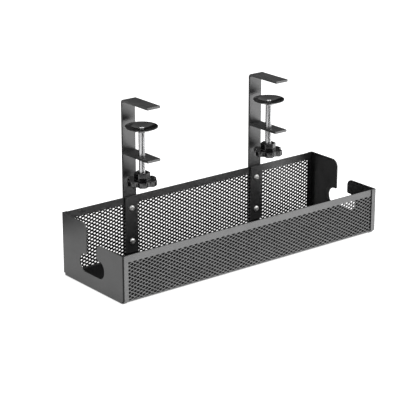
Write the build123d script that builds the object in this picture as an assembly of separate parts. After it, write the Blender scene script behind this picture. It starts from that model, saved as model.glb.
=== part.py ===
from build123d import *
import os

# Under-desk cable tray: a steel trough between two flanged end plates, hung from two
# screw clamps that grip the edge of a desk top. Millimetres, +Z up, +X along the tray,
# -Y towards the user at the desk. Z is 0 under the tray.

# Tray
tray_length = 400.0
tray_depth = 125.0
rear_height = 80.0
front_height = 59.5
sheet_thickness = 1.2
sheet_bend_radius = 1.2

# End plates
plate_thickness = 1.2
plate_bend_radius = 0.8
flange_width = 7.5
corner_cut = 4.0
slot_width = 20.0
slot_middle = 0.7
opening_width = 50.0
opening_bottom = 18.2
opening_height = 22.3
opening_corner_radius = 10.5
slot_edge_radius = 2.0
rear_prong_radius = 10.0
front_prong_radius = 8.0

# Brackets
bracket_spacing = 200.0
bracket_width = 19.0
bracket_thickness = 3.0
bracket_top = 204.0
bracket_foot = 3.0
bracket_bend_radius = 2.0
hook_reach = 51.0
lug_top = 138.5
lug_reach = 50.5
lug_thickness = 3.0
inner_plate_thickness = 2.0
inner_plate_foot = 7.0

# Clamp screws
clamp_axis_reach = 25.8
screw_diameter = 8.0
screw_running_clearance = 0.05
neck_diameter = 5.0
neck_running_clearance = 0.05
tip_head_diameter = 7.5
tip_head_height = 1.5
tip_head_gap = 0.3

# Clamp pads
pad_diameter = 40.0
pad_rim_top = 175.3
pad_height = 7.8
pad_rim_thickness = 1.6
pad_recess_diameter = 30.0
pad_wall_thickness = 0.9
pad_foot_diameter = 13.0
pad_foot_gap = 0.3

# Knobs
knob_diameter = 35.0
knob_lobes = 6
knob_scallop_radius = 7.0
knob_scallop_depth = 3.0
knob_bottom = 101.5
knob_rim_height = 7.0
knob_hub_diameter = 18.8
knob_hub_top = 117.0
knob_floor_thickness = 2.5

# Bolts, which screw into tapped holes in the brackets
bolt_diameter = 4.0
bolt_length = 6.0
bolt_hole_clearance = 0.25
bolt_thread_clearance = 0.05
bolt_head_diameter = 8.2
bolt_head_height = 2.6
bolt_heights = (21.5, 64.5)

# Places worked out from the sizes above, with Y measured from the middle of the tray
wall_outer_y = tray_depth / 2 - plate_thickness
wall_inner_y = wall_outer_y - sheet_thickness
floor_bottom = plate_thickness
floor_top = floor_bottom + sheet_thickness
strap_front_y = wall_outer_y
strap_back_y = strap_front_y + bracket_thickness
inner_plate_front_y = wall_inner_y - inner_plate_thickness
clamp_axis_y = strap_front_y - clamp_axis_reach
lug_bottom = lug_top - lug_thickness
pad_foot_bottom = pad_rim_top - pad_height
pad_rim_bottom = pad_rim_top - pad_rim_thickness
pad_slope = (pad_rim_bottom - pad_foot_bottom) / (pad_diameter - pad_foot_diameter)
pad_recess_underside = pad_foot_bottom + pad_slope * (pad_recess_diameter - pad_foot_diameter)
pad_floor_top = pad_recess_underside + pad_wall_thickness
to_origin = Pos(0, (tray_depth / 2 - strap_back_y) / 2, 0)
bracket_x = {"left": -bracket_spacing / 2, "right": bracket_spacing / 2}
bolt_z = dict(zip(("lower", "upper"), bolt_heights))


def closed_face(points):
    """A flat face inside a closed run of straight edges."""
    return make_face(Polyline(*points, close=True))


def rounded(face, radii):
    """The face with the corner nearest each given point rounded by its radius."""
    for (u, v), radius in radii.items():
        corner = face.vertices().sort_by_distance((u, v, 0))[0]
        face = fillet(corner, radius)
    return face


def along_x(face, start, length):
    """A solid whose section in Y and Z is the face, from start towards +X."""
    return extrude(Plane(origin=(start, 0, 0), x_dir=(0, 1, 0), z_dir=(1, 0, 0)) * face, length)


def along_y(face, start, length):
    """A solid whose section in X and Z is the face, from start towards +Y."""
    section = Plane(origin=(0, start, 0), x_dir=(1, 0, 0), z_dir=(0, -1, 0)) * face
    return extrude(section, -length)


def upright(face, bottom, top):
    """A solid whose section in X and Y is the face, from bottom to top."""
    return extrude(Pos(0, 0, bottom) * face, top - bottom)


def bolt_holes(side, clearance):
    """The two holes of one bracket's bolts, wider than the bolts by the clearance all round."""
    radius = bolt_diameter / 2 + clearance
    discs = [Pos(bracket_x[side], z) * Circle(radius) for z in bolt_z.values()]
    return along_y(discs[0] + discs[1], 0, tray_depth)


def tray_sheet():
    """The folded trough: a tall rear wall, the floor and a lower front wall."""
    section = closed_face([
        (-wall_outer_y, front_height),
        (-wall_outer_y, floor_bottom),
        (wall_outer_y, floor_bottom),
        (wall_outer_y, rear_height),
        (wall_inner_y, rear_height),
        (wall_inner_y, floor_top),
        (-wall_inner_y, floor_top),
        (-wall_inner_y, front_height),
    ])
    outer_radius = sheet_bend_radius + sheet_thickness
    section = rounded(section, {
        (-wall_outer_y, floor_bottom): outer_radius,
        (wall_outer_y, floor_bottom): outer_radius,
        (-wall_inner_y, floor_top): sheet_bend_radius,
        (wall_inner_y, floor_top): sheet_bend_radius,
    })
    length = tray_length - 2 * (plate_thickness + plate_bend_radius)
    sheet = along_x(section, -length / 2, length)
    return sheet - bolt_holes("left", bolt_hole_clearance) - bolt_holes("right", bolt_hole_clearance)


def end_outline():
    """The outline of an end plate in Y and Z, with the cable slot and its wide foot."""
    half = tray_depth / 2
    rear_edge = slot_middle + slot_width / 2
    front_edge = slot_middle - slot_width / 2
    outline = closed_face([
        (-half, corner_cut),
        (-half + corner_cut, 0),
        (half - corner_cut, 0),
        (half, corner_cut),
        (half, rear_height),
        (rear_edge, rear_height),
        (rear_edge, front_height),
        (-half, front_height),
    ])
    opening_middle = opening_bottom + opening_height / 2
    opening = Pos(slot_middle, opening_middle) * RectangleRounded(
        opening_width, opening_height, opening_corner_radius)
    slot = Pos(slot_middle, (rear_height + opening_middle) / 2) * Rectangle(
        slot_width, rear_height - opening_middle)
    outline = outline - (opening + slot)
    opening_top = opening_bottom + opening_height
    return rounded(outline, {
        (rear_edge, rear_height): rear_prong_radius,
        (front_edge, front_height): front_prong_radius,
        (rear_edge, opening_top): slot_edge_radius,
        (front_edge, opening_top): slot_edge_radius,
    })


def right_end_plate():
    """A flat end plate with front, rear and bottom flanges folded over the trough."""
    outer_x = tray_length / 2
    inner_x = outer_x - flange_width
    plate_x = outer_x - plate_thickness
    half = tray_depth / 2
    outer_radius = plate_bend_radius + plate_thickness
    walls = closed_face([
        (inner_x, -half),
        (outer_x, -half),
        (outer_x, half),
        (inner_x, half),
        (inner_x, half - plate_thickness),
        (plate_x, half - plate_thickness),
        (plate_x, -half + plate_thickness),
        (inner_x, -half + plate_thickness),
    ])
    walls = rounded(walls, {
        (outer_x, -half): outer_radius,
        (outer_x, half): outer_radius,
        (plate_x, -half + plate_thickness): plate_bend_radius,
        (plate_x, half - plate_thickness): plate_bend_radius,
    })
    pan = upright(walls, 0, rear_height) & along_x(end_outline(), inner_x, flange_width)
    cut_corner = closed_face([(outer_x - corner_cut, 0), (outer_x, 0), (outer_x, corner_cut)])
    pan -= along_y(cut_corner, -half, tray_depth)
    fold = closed_face([
        (inner_x, 0),
        (outer_x, 0),
        (outer_x, corner_cut),
        (plate_x, corner_cut),
        (plate_x, plate_thickness),
        (inner_x, plate_thickness),
    ])
    fold = rounded(fold, {
        (outer_x, 0): outer_radius,
        (plate_x, plate_thickness): plate_bend_radius,
    })
    return pan + along_y(fold, corner_cut - half, tray_depth - 2 * corner_cut)


def bracket(side):
    """A flat strap behind the rear wall, folded forward at the top into a hook."""
    hook_front_y = strap_front_y - hook_reach
    hook_bottom = bracket_top - bracket_thickness
    section = closed_face([
        (strap_front_y, bracket_foot),
        (strap_back_y, bracket_foot),
        (strap_back_y, bracket_top),
        (hook_front_y, bracket_top),
        (hook_front_y, hook_bottom),
        (strap_front_y, hook_bottom),
    ])
    section = rounded(section, {
        (strap_back_y, bracket_top): bracket_bend_radius + bracket_thickness,
        (strap_front_y, hook_bottom): bracket_bend_radius,
    })
    strap = along_x(section, bracket_x[side] - bracket_width / 2, bracket_width)
    return strap - bolt_holes(side, bolt_thread_clearance)


def inner_plate(side):
    """The flat plate inside the wall that the bolts pull against the strap."""
    middle = (inner_plate_foot + rear_height) / 2
    face = Pos(bracket_x[side], middle) * Rectangle(bracket_width, rear_height - inner_plate_foot)
    plate = along_y(face, inner_plate_front_y, inner_plate_thickness)
    return plate - bolt_holes(side, bolt_hole_clearance)


def screw_lug(side):
    """The shelf that stands out from the strap and carries the clamp screw."""
    middle = strap_front_y - lug_reach / 2
    face = Pos(bracket_x[side], middle) * Rectangle(bracket_width, lug_reach)
    bore = Pos(bracket_x[side], clamp_axis_y) * Circle(screw_diameter / 2 + screw_running_clearance)
    return upright(face - bore, lug_bottom, lug_top)


def clamp_screw(side):
    """The threaded rod, its shoulder under the pad and the riveted tip above it."""
    shoulder = pad_foot_bottom - pad_foot_gap
    head_bottom = pad_floor_top + tip_head_gap
    head_top = head_bottom + tip_head_height
    axis = Pos(bracket_x[side], clamp_axis_y)
    rod = upright(axis * Circle(screw_diameter / 2), knob_bottom + knob_floor_thickness, shoulder)
    neck = upright(axis * Circle(neck_diameter / 2), shoulder, head_bottom)
    head = upright(axis * Circle(tip_head_diameter / 2), head_bottom, head_top)
    return rod + neck + head


def clamp_pad(side):
    """The turned dish that presses against the desk's underside."""
    rim = pad_diameter / 2
    bore = neck_diameter / 2 + neck_running_clearance
    section = Plane.XZ * closed_face([
        (bore, pad_foot_bottom),
        (pad_foot_diameter / 2, pad_foot_bottom),
        (rim, pad_rim_bottom),
        (rim, pad_rim_top),
        (pad_recess_diameter / 2, pad_rim_top),
        (pad_recess_diameter / 2, pad_floor_top),
        (bore, pad_floor_top),
    ])
    return Pos(bracket_x[side], clamp_axis_y, 0) * revolve(section, Axis.Z)


def knob(side):
    """A lobed hand wheel with a hub, pressed onto the lower end of the rod."""
    radius = knob_diameter / 2
    scallops = PolarLocations(
        radius - knob_scallop_depth + knob_scallop_radius, knob_lobes, start_angle=180 / knob_lobes)
    outline = Circle(radius) - scallops * Circle(knob_scallop_radius)
    wheel = upright(outline, knob_bottom, knob_bottom + knob_rim_height)
    hub = upright(Circle(knob_hub_diameter / 2), knob_bottom, knob_hub_top)
    bore = upright(Circle(screw_diameter / 2), knob_bottom + knob_floor_thickness, knob_hub_top)
    return Pos(bracket_x[side], clamp_axis_y, 0) * (wheel + hub - bore)


def bolt(side, level):
    """A machine screw whose head bears on the inner plate."""
    place = Pos(bracket_x[side], bolt_z[level])
    head_front_y = inner_plate_front_y - bolt_head_height
    head = along_y(place * Circle(bolt_head_diameter / 2), head_front_y, bolt_head_height)
    return head + along_y(place * Circle(bolt_diameter / 2), inner_plate_front_y, bolt_length)


def pieces():
    """Every separate piece of the tray by its name."""
    made = {"tray_sheet": tray_sheet(), "right_end_plate": right_end_plate()}
    made["left_end_plate"] = mirror(made["right_end_plate"], about=Plane.YZ)
    for side in bracket_x:
        made[f"{side}_bracket"] = bracket(side)
        made[f"{side}_inner_plate"] = inner_plate(side)
        made[f"{side}_screw_lug"] = screw_lug(side)
        made[f"{side}_clamp_screw"] = clamp_screw(side)
        made[f"{side}_clamp_pad"] = clamp_pad(side)
        made[f"{side}_knob"] = knob(side)
        for level in bolt_z:
            made[f"{side}_{level}_bolt"] = bolt(side, level)
    return made


os.makedirs("parts", exist_ok=True)
for name, solid in pieces().items():
    export_step(to_origin * solid, f"parts/{name}.step")
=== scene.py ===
import math
import bmesh
import bpy
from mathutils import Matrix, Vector
from mathutils.geometry import delaunay_2d_cdt


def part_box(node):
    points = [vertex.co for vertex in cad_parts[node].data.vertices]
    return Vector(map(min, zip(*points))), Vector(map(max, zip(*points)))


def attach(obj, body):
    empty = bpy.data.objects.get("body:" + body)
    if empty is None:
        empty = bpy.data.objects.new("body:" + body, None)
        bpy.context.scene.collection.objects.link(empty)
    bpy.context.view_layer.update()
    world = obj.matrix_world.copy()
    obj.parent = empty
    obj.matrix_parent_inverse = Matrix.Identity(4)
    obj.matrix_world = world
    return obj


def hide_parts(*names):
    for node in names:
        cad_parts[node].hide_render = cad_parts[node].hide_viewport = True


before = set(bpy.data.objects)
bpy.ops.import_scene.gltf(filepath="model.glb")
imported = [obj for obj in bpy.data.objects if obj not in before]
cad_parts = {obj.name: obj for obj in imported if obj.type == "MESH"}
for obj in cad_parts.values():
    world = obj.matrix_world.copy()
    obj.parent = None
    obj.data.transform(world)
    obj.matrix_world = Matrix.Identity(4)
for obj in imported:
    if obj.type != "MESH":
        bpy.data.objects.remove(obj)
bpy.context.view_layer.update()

MM = 0.001
sides = {"left": -0.1, "right": 0.1}
same_place = 1e-6

# Camera, solved from the corners of the tray and its brackets in the photograph
camera_place = (-1.19595, -1.47500, 0.71333)
camera_azimuth = 38.425
camera_elevation = -19.012
camera_lens = 140.04
camera_sensor = 36.0
camera_clip = (0.05, 60.0)

# Tray sheet
tray_low, tray_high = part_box("tray_sheet")
sheet_thickness = 1.2 * MM
inner_bend = 1.2 * MM
front_height = 59.5 * MM
bend_steps = 6
edge_bevel = 0.2 * MM

# Perforation: staggered columns of diamond holes, and the place of one hole in each wall.
# The bars are web_width wide on the outer face, and a hole is drawn in to inner_share of its
# size on the inner face.
column_spacing = 4.06 * MM
hole_pitch = 4.6 * MM
web_width = 0.6 * MM
inner_share = 0.61
hole_quarter = ((1.0, 0.0), (0.93, 0.035), (0.80, 0.16), (0.16, 0.80), (0.0, 0.92))
hole_end_trim = 0.955
rear_hole = (7.85 * MM, 2.25 * MM)
front_hole = (4.40 * MM, 4.05 * MM)
hole_end_margin = 4.6 * MM
lowest_hole = 4.0 * MM
perforation_bottom = 3.8 * MM
rear_perforation_top = 71.0 * MM
front_perforation_top = 51.0 * MM
highest_hole_rise = 0.3 * MM
bolt_heights = (21.5 * MM, 64.5 * MM)
bolt_hole_radius = 2.25 * MM
bolt_clearance = 6.2 * MM

# Edge rounding of the pieces made from the solids, and the slant that marks a plate's folds, which
# get painted shade
plate_bevel = 0.2 * MM
part_bevels = {"bracket": 0.35 * MM, "inner_plate": 0.3 * MM, "screw_lug": 0.35 * MM}
fold_slant = 0.3
flat_angle = math.radians(0.5)
sharp_angle = math.radians(35)

# Bolts: a domed head with a cross recess, turned differently at each level
head_radius = 4.1 * MM
head_height = 2.6 * MM
shank_radius = 2.0 * MM
dome_power = 2.4
dome_ring_spread = 0.8
recess_arm = 2.1 * MM
recess_half_width = 0.42 * MM
recess_depth = 1.3 * MM
recess_rise = 0.55
recess_turns = {"lower": 65, "upper": 20}

# Clamp screws
axis_y = sum(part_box("left_clamp_screw")[i].y for i in (0, 1)) / 2
screw_radius = 4.0 * MM
thread_pitch = 1.25 * MM
thread_depth = 0.3 * MM
groove_share = 0.2
neck_radius = 2.5 * MM
tip_radius = 3.4 * MM

# Clamp pads, in millimetres, and where they stand
pad_radius = 20.0
pad_foot_radius = 10.0
pad_bore_radius = 2.6
pad_height = 6.2
pad_steps = 96
pad_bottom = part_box("left_clamp_pad")[1].z - pad_height * MM
pad_gap = 0.3 * MM

# Knobs, in millimetres
wheel_radius = 18.5
wheel_depth = 7.0
scallop_radius = 6.0
scallop_depth = 3.5
hub_flat_radius = 8.7
hub_corner_radius = 9.9
hub_top = 15.5
knob_turn = math.radians(-3.0)

# Studio
floor_half = 12.0
floor_white = 0.93
floor_lift = 0.75
world_strength = 0.28
lying_cards = ((-0.4, 0.27, -0.56, -0.29), (-0.55, -0.02, 0.20, 0.56))
lying_card_height = 0.002
standing_card = (-2.2, 2.2, 0.02, 0.95)
standing_card_places = (1.2, -1.3)
lamps = {
    "floor_bounce": ((1.25, -1.6, -0.7), (0.0, -0.05, 0.05), (1.5, 0.9), 60),
    "key": ((1.3, -1.6, 1.2), (0, 0, 0.05), (0.7, 0.7), 14),
    "top": ((0.3, -0.4, 2.4), (0, 0.1, 0), (2.6, 2.6), 38),
}


# Mesh helpers

def piece(name, bm, body, material, nodes, angle=32):
    """A new object made from bm that rides on a body and stands for the nodes.

    It is shaded smooth, with edges sharper than the angle kept crisp.
    """
    bmesh.ops.recalc_face_normals(bm, faces=bm.faces)
    mesh = bpy.data.meshes.new(name)
    bm.to_mesh(mesh)
    bm.free()
    mesh.shade_smooth()
    mesh.set_sharp_from_angle(angle=math.radians(angle))
    obj = bpy.data.objects.new(name, mesh)
    bpy.context.scene.collection.objects.link(obj)
    mesh.materials.append(material)
    even = obj.modifiers.new("even_normals", "WEIGHTED_NORMAL")
    even.keep_sharp = True
    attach(obj, body)
    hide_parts(*nodes)
    return obj


def bevel_sharp(bm, width, chosen=None):
    """Rounds the bm's sharp edges, or those of them that are chosen."""
    edges = [e for e in bm.edges if len(e.link_faces) == 2 and e.calc_face_angle(0) > sharp_angle]
    if chosen:
        edges = [e for e in edges if chosen(e)]
    bmesh.ops.bevel(bm, geom=edges, offset=width, segments=2, profile=0.5,
                    affect="EDGES", clamp_overlap=True)


def from_solid(name, width):
    """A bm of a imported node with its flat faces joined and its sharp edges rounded."""
    bm = bmesh.new()
    bm.from_mesh(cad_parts[name].data)
    bmesh.ops.remove_doubles(bm, verts=bm.verts, dist=same_place)
    bmesh.ops.dissolve_limit(bm, angle_limit=flat_angle, verts=bm.verts, edges=bm.edges)
    bevel_sharp(bm, width)
    return bm


def turn_of(k, steps):
    """The k-th of the equal turns of a circle."""
    return 2 * math.pi * k / steps


def level_ring(bm, centre, height, radii, start=0.0):
    """A level ring of vertices round the centre, one for each radius."""
    turns = [turn_of(k, len(radii)) + start for k in range(len(radii))]
    return [bm.verts.new((centre[0] + radius * math.cos(turn),
                          centre[1] + radius * math.sin(turn), height))
            for radius, turn in zip(radii, turns)]


def join_rings(bm, rings):
    """Faces between each ring and the next; a ring of one vertex is a tip."""
    for a, b in zip(rings, rings[1:]):
        n = max(len(a), len(b))
        for i in range(n):
            k = (i + 1) % n
            if len(a) == 1:
                bm.faces.new((a[0], b[k], b[i]))
            elif len(b) == 1:
                bm.faces.new((a[i], a[k], b[0]))
            else:
                bm.faces.new((a[i], a[k], b[k], b[i]))


def arc(centre, radius, start, end, steps):
    """Points on an arc in a plane, from start to end in degrees."""
    turns = [math.radians(start + (end - start) * i / steps) for i in range(steps + 1)]
    return [(centre[0] + radius * math.cos(t), centre[1] + radius * math.sin(t)) for t in turns]


# Materials

def noise(nodes, links, scale, detail, coords):
    """A noise texture on the object's own coordinates."""
    texture = nodes.new("ShaderNodeTexNoise")
    texture.inputs["Scale"].default_value = scale
    texture.inputs["Detail"].default_value = detail
    links.new(coords, texture.inputs["Vector"])
    return texture.outputs["Fac"]


def ramp(nodes, links, source, low, high, out_low, out_high):
    """The source's range low..high mapped to out_low..out_high."""
    node = nodes.new("ShaderNodeMapRange")
    node.inputs["From Min"].default_value = low
    node.inputs["From Max"].default_value = high
    node.inputs["To Min"].default_value = out_low
    node.inputs["To Max"].default_value = out_high
    links.new(source, node.inputs["Value"])
    return node.outputs["Result"]


noise_range = (0.3, 0.7)


def finish_material(name, dark, light, roughness, grain, grain_height, grain_strength,
                    metallic=0.0, specular=0.5, mottle=45.0):
    """A coated or plated surface: mottled colour, uneven gloss and a fine grain."""
    material = bpy.data.materials.new(name)
    material.use_nodes = True
    nodes, links = material.node_tree.nodes, material.node_tree.links
    shader = nodes["Principled BSDF"]
    shader.inputs["Metallic"].default_value = metallic
    shader.inputs["Specular IOR Level"].default_value = specular
    coords = nodes.new("ShaderNodeTexCoord").outputs["Object"]
    broad = noise(nodes, links, mottle, 3.0, coords)
    fine = noise(nodes, links, grain, 2.0, coords)
    mix = nodes.new("ShaderNodeMix")
    mix.data_type = "RGBA"
    mix.inputs[6].default_value = (*dark, 1)
    mix.inputs[7].default_value = (*light, 1)
    both = nodes.new("ShaderNodeMath")
    both.operation = "MULTIPLY_ADD"
    both.inputs[1].default_value = 0.5
    links.new(broad, both.inputs[0])
    links.new(ramp(nodes, links, fine, *noise_range, 0.0, 0.5), both.inputs[2])
    links.new(both.outputs["Value"], mix.inputs[0])
    links.new(mix.outputs[2], shader.inputs["Base Color"])
    links.new(ramp(nodes, links, broad, *noise_range, *roughness), shader.inputs["Roughness"])
    bump = nodes.new("ShaderNodeBump")
    bump.inputs["Strength"].default_value = grain_strength
    bump.inputs["Distance"].default_value = grain_height
    links.new(fine, bump.inputs["Height"])
    links.new(bump.outputs["Normal"], shader.inputs["Normal"])
    return material


powder = finish_material("black_powder_coat_grained", (0.009, 0.009, 0.0093),
                         (0.024, 0.024, 0.0247), (0.3, 0.38), 1500.0, 0.00004, 0.35,
                         specular=0.65)
# A darker, less glossy copy of the black powder coat: painted shade for the faces that lie in shade
powder_painted_shade = finish_material("black_powder_coat_painted_shade", (0.002, 0.002, 0.0021),
                               (0.006, 0.006, 0.0062), (0.34, 0.44), 1500.0, 0.00004, 0.35,
                               specular=0.25)
gloss = finish_material("black_gloss_coat_smooth", (0.002, 0.002, 0.0021),
                        (0.006, 0.006, 0.0062), (0.12, 0.2), 500.0, 0.00002, 0.1,
                        specular=0.2)
chrome = finish_material("chromed_thread", (0.55, 0.55, 0.56), (0.66, 0.66, 0.66),
                         (0.05, 0.1), 900.0, 0.00001, 0.05, metallic=1.0)
zinc = finish_material("bright_zinc_plate", (0.62, 0.62, 0.61), (0.8, 0.8, 0.79),
                       (0.34, 0.46), 1200.0, 0.00001, 0.2, metallic=1.0)
plastic = finish_material("black_moulded_plastic", (0.002, 0.002, 0.0021),
                          (0.006, 0.006, 0.0062), (0.12, 0.2), 1800.0, 0.00002, 0.15,
                          specular=1.0)


# Tray sheet

def ring_points(centre, radius, corners=12):
    """The corners of a round hole drawn with a few sides."""
    turns = [turn_of(k + 0.5, corners) for k in range(corners)]
    return [(centre[0] + radius * math.cos(t), centre[1] + radius * math.sin(t)) for t in turns]


def diamond(centre):
    """A diamond hole with softened corners, longer along the tray."""
    wide, tall = column_spacing, hole_pitch / 2
    web_share = web_width * math.hypot(wide, tall) / (2 * wide * tall)
    half_wide, half_tall = wide * (1 - web_share) * hole_end_trim, tall * (1 - web_share)
    quarter = [(u * half_wide, v * half_tall) for u, v in hole_quarter]
    points = quarter + [(-u, v) for u, v in quarter[-2:0:-1]]
    points += [(-u, -v) for u, v in quarter] + [(u, -v) for u, v in quarter[-2:0:-1]]
    return [(centre[0] + u, centre[1] + v) for u, v in points]


def cut_above(points, top):
    """The polygon's part below a level line, or an empty list."""
    kept = []
    for (ax, az), (bx, bz) in zip(points, points[1:] + points[:1]):
        if az <= top:
            kept.append((ax, az))
        if (az <= top) != (bz <= top):
            share = (top - az) / (bz - az)
            kept.append((ax + (bx - ax) * share, top))
    return kept


def cut_below(points, bottom):
    """The polygon's part above a level line, or an empty list."""
    upturned = cut_above([(x, -z) for x, z in points], -bottom)
    return [(x, -z) for x, z in upturned]


def drawn_in(ring):
    """A hole's outline on the sheet's inner face, where it is narrower."""
    x, z = (((min(p[i] for p in ring) + max(p[i] for p in ring)) / 2) for i in (0, 1))
    return [(x + (px - x) * inner_share, z + (pz - z) * inner_share) for px, pz in ring]


def perforation(first, top, bolts):
    """The outlines of a wall's diamond holes, clear of the sheet's ends and of the bolts."""
    found = []
    reach = tray_high.x - hole_end_margin
    columns = int(2 * reach / column_spacing) + 2
    rows = int(top / hole_pitch) + 2
    for i in range(-columns, columns):
        x = first[0] + i * column_spacing
        if abs(x) > reach:
            continue
        stagger = hole_pitch / 2 if i % 2 else 0.0
        for j in range(rows):
            z = first[1] % hole_pitch + stagger + (j - 1) * hole_pitch
            near_bolt = any(math.hypot(x - bx, z - bz) < bolt_clearance for bx, bz in bolts)
            if z < lowest_hole or z > top + highest_hole_rise or near_bolt:
                continue
            found.append(cut_below(cut_above(diamond((x, z)), top), perforation_bottom))
    return found


class SheetMesh:
    """Vertices of the sheet shared by place, so that its strips and walls join up."""

    def __init__(self):
        self.bm = bmesh.new()
        self.known = {}

    def at(self, x, y, z):
        key = (round(x * 1e7), round(y * 1e7), round(z * 1e7))
        if key not in self.known:
            self.known[key] = self.bm.verts.new((x, y, z))
        return self.known[key]

    def face(self, *corners, inner=False):
        """A face between the corners, in the darker painted-shade coat where inner is set."""
        self.bm.faces.new([self.at(*c) for c in corners]).material_index = int(inner)


def perforated_wall(sheet, outer_y, inner_y, bottom, top, holes):
    """A flat wall with holes right through it, between bottom and top."""
    x0, x1 = tray_low.x, tray_high.x
    points = [(x0, bottom), (x1, bottom), (x1, top), (x0, top)]
    edges = [(0, 1), (1, 2), (2, 3), (3, 0)]
    margin = -1
    owners = [margin] * len(points)
    inner_holes = [drawn_in(ring) for ring in holes]
    inner_points = points + [p for ring in inner_holes for p in ring]
    for number, ring in enumerate(holes):
        start = len(points)
        points += ring
        owners += [number] * len(ring)
        edges += [(start + k, start + (k + 1) % len(ring)) for k in range(len(ring))]
    flat = [Vector(p) for p in points]
    _, _, faces, sources, _, _ = delaunay_2d_cdt(flat, edges, [], 0, 1e-9)
    for face in faces:
        numbers = [sources[i][0] for i in face]
        met = {owners[n] for n in numbers}
        if len(met) == 1 and margin not in met:
            continue
        sheet.face(*[(points[n][0], outer_y, points[n][1]) for n in numbers])
        # Inner faces between the holes get painted shade; those that touch the wall's border keep
        # the plain coat
        sheet.face(*[(inner_points[n][0], inner_y, inner_points[n][1]) for n in numbers],
                   inner=margin not in met)
    # The hole walls get painted shade
    for ring, inner_ring in zip(holes, inner_holes):
        for k in range(len(ring)):
            outside = [(x, outer_y, z) for x, z in (ring[k - 1], ring[k])]
            inside = [(x, inner_y, z) for x, z in (inner_ring[k], inner_ring[k - 1])]
            sheet.face(*outside, *inside, inner=True)


def tray_sheet():
    """The folded trough with its two perforated walls and its plain floor."""
    sheet = SheetMesh()
    x0, x1 = tray_low.x, tray_high.x
    front_y, rear_y, rear_top = tray_low.y, tray_high.y, tray_high.z
    front_inner_y, rear_inner_y = front_y + sheet_thickness, rear_y - sheet_thickness
    outer_bend = inner_bend + sheet_thickness
    bend_z = tray_low.z + outer_bend
    bolts = [(x, z) for x in sides.values() for z in bolt_heights]
    front_holes = perforation(front_hole, front_perforation_top, [])
    rear_holes = perforation(rear_hole, rear_perforation_top, bolts)
    rear_holes += [ring_points(centre, bolt_hole_radius) for centre in bolts]
    perforated_wall(sheet, front_y, front_inner_y, bend_z, front_height, front_holes)
    perforated_wall(sheet, rear_y, rear_inner_y, bend_z, rear_top, rear_holes)
    front_centre, rear_centre = (front_y + outer_bend, bend_z), (rear_y - outer_bend, bend_z)
    outside, inside = (arc(front_centre, radius, 180, 270, bend_steps)
                       + arc(rear_centre, radius, 270, 360, bend_steps)
                       for radius in (outer_bend, inner_bend))
    # The inside of the bends gets painted shade
    for path in (outside, inside):
        for (ay, az), (by, bz) in zip(path, path[1:]):
            sheet.face((x0, ay, az), (x1, ay, az), (x1, by, bz), (x0, by, bz),
                       inner=path is inside)
    for y, end_y, z in ((front_y, front_inner_y, front_height),
                        (rear_inner_y, rear_y, rear_top)):
        sheet.face((x0, y, z), (x1, y, z), (x1, end_y, z), (x0, end_y, z))
    section = [(front_y, front_height)] + outside + [(rear_y, rear_top)]
    section += [(rear_inner_y, rear_top)] + inside[::-1] + [(front_inner_y, front_height)]
    for x in (x0, x1):
        sheet.face(*[(x, y, z) for y, z in section])
    bm = sheet.bm
    bmesh.ops.recalc_face_normals(bm, faces=bm.faces)
    long_edge = 0.1
    bevel_sharp(bm, edge_bevel, chosen=lambda e: e.calc_length() > long_edge and all(
        min(abs(v.co.z - top) for top in (front_height, rear_top)) < same_place
        for v in e.verts))
    obj = piece("tray_sheet_perforated", bm, "tray", powder, ["tray_sheet"])
    # The second slot holds the painted-shade coat
    obj.data.materials.append(powder_painted_shade)


tray_sheet()


# End plates, brackets, inner plates and lugs

for node in ("left_end_plate", "right_end_plate"):
    plate = from_solid(node, plate_bevel)
    plate.normal_update()
    for face in plate.faces:
        # Fold faces, slanting between the plate and its flanges, get painted shade from the darker
        # coat
        if abs(face.normal.x) > fold_slant and abs(face.normal.y) > fold_slant:
            face.material_index = 1
    folded = piece(f"{node}_folded", plate, "tray", powder, [node])
    folded.data.materials.append(powder_painted_shade)
for side in sides:
    for part, width in part_bevels.items():
        node = f"{side}_{part}"
        piece(f"{node}_rounded", from_solid(node, width), "tray",
              powder, [node])


# Bolts

def bolt(side, level):
    """A domed machine screw with a cross recess in its head."""
    node = f"{side}_{level}_bolt"
    low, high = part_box(node)
    x, z = (low.x + high.x) / 2, (low.z + high.z) / 2
    seat = low.y + head_height
    recess_turn = math.radians(recess_turns[level])
    rings_count, steps = 22, 48
    bm = bmesh.new()

    def head_y(radius, turn):
        rise = head_height * math.sqrt(max(0.0, 1 - (radius / head_radius) ** dome_power))
        u = radius * abs(math.cos(turn - recess_turn))
        v = radius * abs(math.sin(turn - recess_turn))
        if min(u, v) < recess_half_width and max(u, v) < recess_arm:
            rise -= recess_depth * (1 - recess_rise * radius / recess_arm)
        return seat - rise

    def ring(radius, y_at):
        if radius == 0:
            return [bm.verts.new((x, y_at(0.0, 0.0), z))]
        turns = [turn_of(k, steps) for k in range(steps)]
        return [bm.verts.new((x + radius * math.cos(turn), y_at(radius, turn),
                              z + radius * math.sin(turn))) for turn in turns]

    rings = [ring(radius, lambda r, turn, y=y: y)
             for radius, y in ((0.0, high.y), (shank_radius, high.y), (shank_radius, seat))]
    rings += [ring(head_radius * (1 - r / rings_count) ** dome_ring_spread, head_y)
              for r in range(rings_count)]
    rings.append(ring(0.0, head_y))
    join_rings(bm, rings)
    piece(f"{node}_domed", bm, "tray", zinc, [node], angle=40)


for side in sides:
    for level in ("lower", "upper"):
        bolt(side, level)


# Clamp screws, pads and knobs

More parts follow.
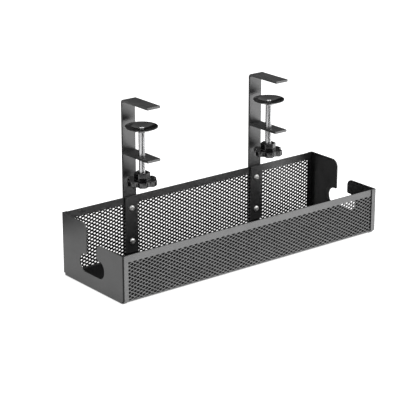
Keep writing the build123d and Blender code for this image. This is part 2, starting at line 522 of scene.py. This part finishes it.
def clamp_screw(side):
    """The threaded rod, its neck under the pad and its riveted tip."""
    centre = (sides[side], axis_y)
    low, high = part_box(f"{side}_clamp_screw")
    bottom, top = low.z, pad_bottom - pad_gap
    steps, rows_per_pitch = 32, 10
    rows = int((top - bottom) / thread_pitch * rows_per_pitch)
    bm = bmesh.new()
    rings = [[bm.verts.new((*centre, bottom))]]
    for r in range(rows + 1):
        z = bottom + (top - bottom) * r / rows
        fade = min(1.0, (z - bottom) / thread_pitch, (top - z) / thread_pitch)
        radii = []
        for k in range(steps):
            phase = (z / thread_pitch - k / steps) % 1.0
            groove = max(0.0, 1 - abs(phase - 0.5) / groove_share)
            radii.append(screw_radius - thread_depth * (1 - fade + fade * groove))
        rings.append(level_ring(bm, centre, z, radii))
    neck = ((neck_radius, top), (neck_radius, high.z - 1.5 * MM))
    tip = ((tip_radius, high.z - 1.5 * MM), (tip_radius, high.z - 0.8 * MM),
           (tip_radius - 0.5 * MM, high.z - 0.25 * MM), (tip_radius - 1.4 * MM, high.z))
    rings += [level_ring(bm, centre, z, [radius] * steps) for radius, z in neck + tip]
    rings.append([bm.verts.new((*centre, high.z))])
    join_rings(bm, rings)
    piece(f"{side}_clamp_screw_threaded", bm, f"{side}_screw", chrome,
          [f"{side}_clamp_screw"])


def clamp_pad(side):
    """The dished pad with a rolled rim, a conical hollow and a flat foot."""
    rim, foot, bore, h = pad_radius, pad_foot_radius, pad_bore_radius, pad_height
    underside = [(bore, 0.0), (foot - 0.6, 0.0), (foot, 0.25), (13.0, 1.6), (16.5, 3.2)]
    rolled = [(rim - 0.5, h - 1.8), (rim, h - 1.4), (rim, h - 0.5), (rim - 0.15, h - 0.15),
              (rim - 0.5, h), (rim - 1.1, h), (rim - 1.5, h - 0.15), (rim - 1.8, h - 0.5)]
    hollow = [(17.0, h - 1.1), (15.6, h - 1.35), (15.0, h - 1.6), (12.5, h - 2.3),
              (9.5, h - 3.1), (6.5, h - 3.7), (4.6, h - 3.9), (4.3, h - 4.1), (bore, h - 4.1)]
    profile = underside + rolled + hollow
    bm = bmesh.new()
    rings = [level_ring(bm, (sides[side], axis_y), pad_bottom + z * MM, [r * MM] * pad_steps)
             for r, z in profile + profile[:1]]
    join_rings(bm, rings)
    bmesh.ops.remove_doubles(bm, verts=bm.verts, dist=1e-7)
    piece(f"{side}_clamp_pad_dished", bm, f"{side}_pad", gloss,
          [f"{side}_clamp_pad"], angle=45)


def from_middle(turn):
    """How far a turn lies from the middle of its sixth of the knob."""
    sixth = math.pi / 3
    return (turn + sixth / 2) % sixth - sixth / 2


def wheel_reach(turn):
    """The wheel's radius: a round lobe, with a wide scallop between two of them."""
    reach = wheel_radius - scallop_depth + scallop_radius
    from_hollow = math.pi / 6 - abs(from_middle(turn))
    side_step = reach * math.sin(from_hollow)
    if side_step >= scallop_radius:
        return wheel_radius
    hollow = reach * math.cos(from_hollow) - math.sqrt(scallop_radius ** 2 - side_step ** 2)
    return min(wheel_radius, hollow)


def hub_reach(turn):
    """The six-sided hub's radius, with its corners cut round."""
    return min(hub_flat_radius / math.cos(from_middle(turn)), hub_corner_radius)


def softened(reach, turn, spread):
    """The mean of an outline's radius near a turn, which rounds its corners."""
    return sum(reach(turn + math.radians(spread * k / 2)) for k in range(-2, 3)) / 5


def knob(side):
    """The lobed hand wheel with rounded edges and a hollow six-sided hub."""
    centre = (sides[side], axis_y)
    low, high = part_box(f"{side}_knob")
    steps = 216
    bm = bmesh.new()
    rings = [[bm.verts.new((*centre, low.z + 0.8 * MM))]]

    def ring(reach, inset, height, spread=2.0):
        radii = [(softened(reach, turn_of(k, steps), spread) - inset) * MM for k in range(steps)]
        rings.append(level_ring(bm, centre, low.z + height * MM, radii, knob_turn))

    def round_ring(radius, height):
        ring(lambda turn: radius, 0.0, height)

    wheel, hub = wheel_depth, hub_top
    underside = ((5.0, 0.8), (5.4, 0.0))
    wheel_edge = ((0.8, 0.0), (0.25, 0.25), (0.0, 0.8),
                  (0.0, wheel - 0.7), (0.2, wheel - 0.2), (0.6, wheel))
    hub_edge = ((-0.5, wheel), (0.0, wheel + 0.4), (0.0, hub - 0.5), (0.15, hub - 0.15), (0.5, hub))
    bore = ((5.7, hub), (5.3, hub - 0.3), (5.2, 10.5), (4.0, 10.5), (4.0, 3.0))
    for radius, height in underside:
        round_ring(radius, height)
    for inset, height in wheel_edge:
        ring(wheel_reach, inset, height)
    for inset, height in hub_edge:
        ring(hub_reach, inset, height, 3.0)
    for radius, height in bore:
        round_ring(radius, height)
    rings.append([bm.verts.new((*centre, low.z + 3.0 * MM))])
    join_rings(bm, rings)
    piece(f"{side}_knob_lobed", bm, f"{side}_screw", plastic,
          [f"{side}_knob"], angle=40)


for side in sides:
    clamp_screw(side)
    clamp_pad(side)
    knob(side)


# Studio

def seen_directly(nodes, links, low, high):
    """A strength: high for the camera, reflections and glass, and low for other light."""
    path = nodes.new("ShaderNodeLightPath")
    seen = path.outputs["Is Camera Ray"]
    for ray in ("Is Glossy Ray", "Is Transmission Ray"):
        either = nodes.new("ShaderNodeMath")
        either.operation = "MAXIMUM"
        links.new(seen, either.inputs[0])
        links.new(path.outputs[ray], either.inputs[1])
        seen = either.outputs["Value"]
    return ramp(nodes, links, seen, 0.0, 1.0, low, high)


def floor_material():
    """Matt white that the camera and reflections see at full white, with the shadow kept."""
    material = bpy.data.materials.new("studio_floor_white")
    material.use_nodes = True
    nodes, links = material.node_tree.nodes, material.node_tree.links
    nodes.remove(nodes["Principled BSDF"])
    matt = nodes.new("ShaderNodeBsdfDiffuse")
    matt.inputs["Color"].default_value = (floor_white, floor_white, floor_white, 1)
    glow = nodes.new("ShaderNodeEmission")
    links.new(seen_directly(nodes, links, 0.0, floor_lift), glow.inputs["Strength"])
    both = nodes.new("ShaderNodeAddShader")
    links.new(matt.outputs["BSDF"], both.inputs[0])
    links.new(glow.outputs["Emission"], both.inputs[1])
    links.new(both.outputs["Shader"], nodes["Material Output"].inputs["Surface"])
    return material


def stage_sheets(name, sheets, material):
    """A stage object of flat four-cornered sheets, which casts no shadow."""
    mesh = bpy.data.meshes.new(name)
    mesh.from_pydata([corner for sheet in sheets for corner in sheet], [],
                     [(k, k + 1, k + 2, k + 3) for k in range(0, 4 * len(sheets), 4)])
    mesh.materials.append(material)
    obj = bpy.data.objects.new(name, mesh)
    bpy.context.scene.collection.objects.link(obj)
    obj.visible_shadow = False
    return obj


def area_light(name, place, target, size, energy):
    """A soft rectangular lamp that faces its target."""
    data = bpy.data.lights.new(name, "AREA")
    data.shape = "RECTANGLE"
    data.size, data.size_y = size
    data.energy = energy
    lamp = bpy.data.objects.new(name, data)
    lamp.location = place
    direction = Vector(target) - Vector(place)
    lamp.rotation_euler = direction.to_track_quat("-Z", "Y").to_euler()
    bpy.context.scene.collection.objects.link(lamp)


def lying(x0, x1, y0, y1, z):
    """The corners of a level sheet."""
    return [(x0, y0, z), (x1, y0, z), (x1, y1, z), (x0, y1, z)]


def standing(x0, x1, z0, z1, y):
    """The corners of an upright sheet that faces along the depth."""
    return [(x0, y, z0), (x1, y, z0), (x1, y, z1), (x0, y, z1)]


floor_sheet = lying(-floor_half, floor_half, -floor_half, floor_half, 0.0)
floor = stage_sheets("studio_floor", [floor_sheet], floor_material())

# Dark cards that show only in reflections, two on the floor and two upright
cards = [lying(*card, lying_card_height) for card in lying_cards]
cards += [standing(*standing_card, y) for y in standing_card_places]
# The cards reuse the near-black painted-shade coat
flag = stage_sheets("studio_flag", cards, powder_painted_shade)
flag.visible_camera = False
flag.visible_diffuse = False

world = bpy.data.worlds.new("studio")
bpy.context.scene.world = world
world.use_nodes = True
tree = world.node_tree
background = tree.nodes["Background"]
background.inputs["Color"].default_value = (1, 1, 1, 1)
tree.links.new(seen_directly(tree.nodes, tree.links, world_strength, 1.0),
               background.inputs["Strength"])

for name, values in lamps.items():
    area_light(name, *values)

camera_data = bpy.data.cameras.new("camera")
camera_data.lens = camera_lens
camera_data.sensor_width = camera_sensor
camera_data.clip_start, camera_data.clip_end = camera_clip
camera = bpy.data.objects.new("camera", camera_data)
camera.location = camera_place
azimuth, elevation = math.radians(camera_azimuth), math.radians(camera_elevation)
look = Vector((math.sin(azimuth) * math.cos(elevation), math.cos(azimuth) * math.cos(elevation),
               math.sin(elevation)))
camera.rotation_euler = look.to_track_quat("-Z", "Y").to_euler()
bpy.context.scene.collection.objects.link(camera)
bpy.context.scene.camera = camera
bpy.context.scene.view_settings.view_transform = "Standard"
